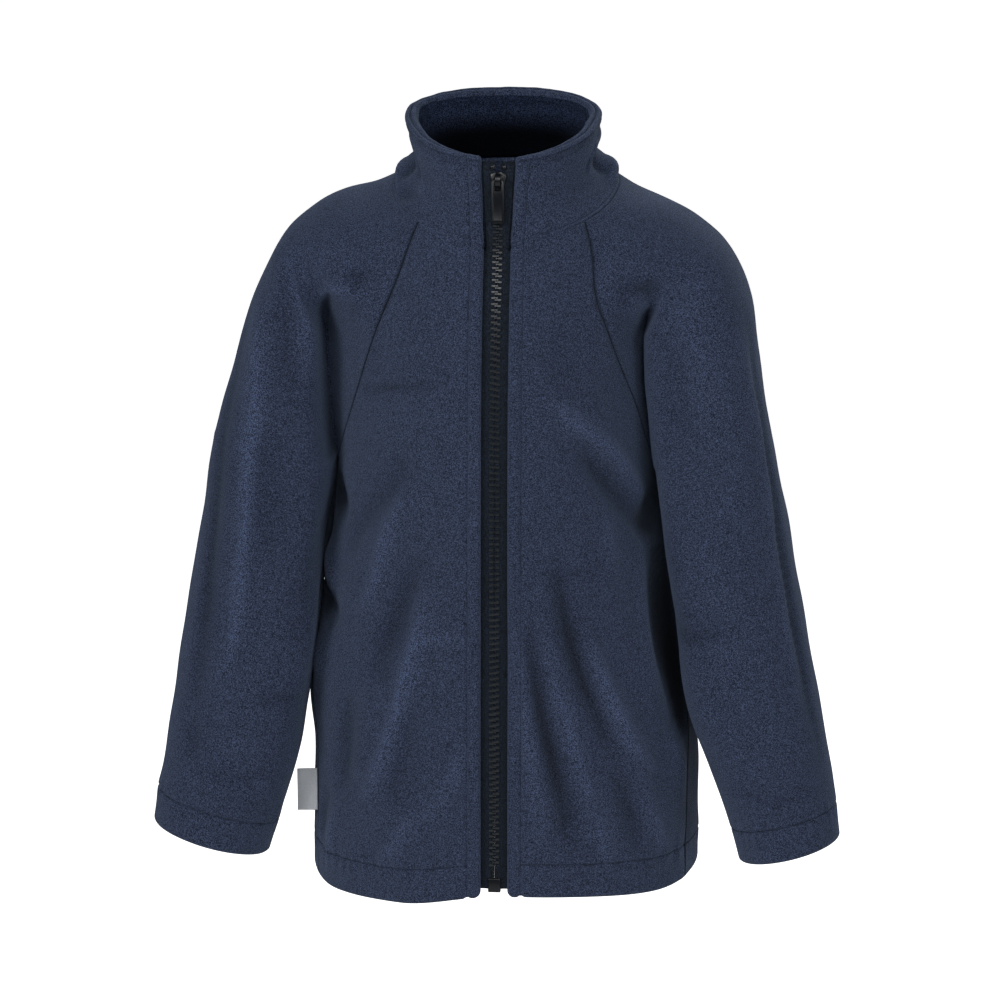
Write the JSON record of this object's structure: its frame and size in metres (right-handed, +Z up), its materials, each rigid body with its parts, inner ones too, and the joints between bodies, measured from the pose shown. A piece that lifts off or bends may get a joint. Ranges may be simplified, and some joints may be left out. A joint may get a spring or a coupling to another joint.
{
  "type": "child's fleece zip jacket",
  "caption": "Child's navy fleece jacket with raglan sleeves, a stand collar and an open-end zip, filled out as if worn.",
  "frame": {"origin": "in the middle of the neck, level with the high shoulder points, where the wearer's neck and shoulders carry the jacket", "axes": "+Z up, the front faces -Y, the wearer's left arm is on the +X side"},
  "size_m": [0.413, 0.1922, 0.4712],
  "materials": {
    "navy_fleece": "brushed fleece with a short nap",
    "black_tape": "woven",
    "black_resin": "satin",
    "grey_label": "woven"
  },
  "bodies": {
    "jacket": {"front_right": "navy_fleece", "front_left": "navy_fleece", "back": "navy_fleece", "sleeve_right": "navy_fleece", "sleeve_left": "navy_fleece", "collar": "navy_fleece", "zip_tape_right": "black_tape", "zip_tape_left": "black_tape", "zip_teeth_right": "black_resin", "zip_teeth_left": "black_resin", "slider": "black_resin", "top_stop_right": "black_resin", "top_stop_left": "black_resin", "zip_box": "black_resin", "zip_pin": "black_resin", "side_label": "grey_label"},
    "pull_tab": {"pull_tab": "black_resin"}
  },
  "joints": [
    {"name": "pull_tab_swing", "type": "hinge", "parent": "jacket", "child": "pull_tab", "pos_m": [0, -0.06789, 0.00816], "axis": [-1, 0, 0], "range_deg": [0, 160]}
  ]
}
